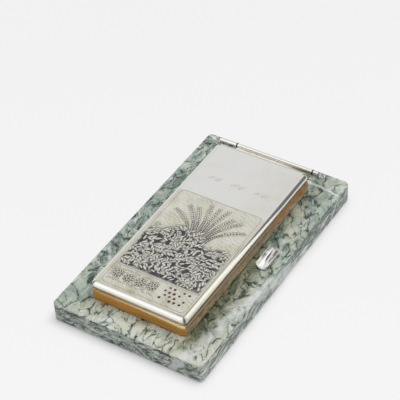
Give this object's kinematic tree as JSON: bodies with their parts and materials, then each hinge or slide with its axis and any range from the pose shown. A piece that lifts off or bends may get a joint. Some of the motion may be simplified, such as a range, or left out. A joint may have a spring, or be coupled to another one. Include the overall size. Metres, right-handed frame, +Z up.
{
  "type": "notepad holder",
  "caption": "Desk notepad holder: marble slab with a rod-hinged wooden lid under a rolled-edge silver cover, paper pad inside, and an open half-tube pen rest.",
  "frame": {"origin": "middle of the underside, on the surface that the holder stands on", "axes": "+X across the slab to the side with the pen rest, +Y to the rear edge with the rod hinge, +Z up"},
  "size_m": [0.12, 0.206, 0.0314],
  "materials": {
    "marble": "honed and lightly polished veined marble",
    "silver": "polished silver sheet with an oxidised relief panel",
    "silver_fittings": "polished silver",
    "rail_wood": "waxed orange-brown hardwood",
    "board_wood": "planed plain wood",
    "brass": "brushed sheet brass",
    "steel": "bright turned steel",
    "base_felt": "dark green felt",
    "lining_felt": "wine-red felt",
    "paper": "uncoated writing paper",
    "card": "grey-brown board",
    "tape": "dark binding cloth",
    "nylon": "natural nylon",
    "washer": "black fibre"
  },
  "bodies": {
    "base": {"base_felt": "base_felt", "marble_slab": "marble", "screw_plugs": "nylon", "pad_tray": "brass", "tray_screws": "steel", "pad_backing": "card", "pad_sheets": "paper", "pad_binding": "tape", "hinge_left_barrel": "silver_fittings", "hinge_right_barrel": "silver_fittings", "lug_screws": "steel", "hinge_pin": "steel", "hinge_washers": "washer", "pen_rest": "silver_fittings", "rest_stud": "steel", "rest_washer": "steel", "rest_nut": "steel"},
    "lid": {"lid_leaf": "silver_fittings", "leaf_screws": "steel", "lid_front_rail": "rail_wood", "lid_rear_rail": "rail_wood", "lid_left_rail": "rail_wood", "lid_right_rail": "rail_wood", "frame_screws": "steel", "lid_board": "board_wood", "silver_cover": "silver", "lid_lining": "lining_felt", "lid_bumpers": "base_felt"}
  },
  "joints": [
    {"name": "lid_swing", "type": "hinge", "parent": "base", "child": "lid", "pos_m": [-0.0005, 0.0986, 0.0179], "axis": [-1, 0, 0], "range_deg": [0, 180]}
  ]
}
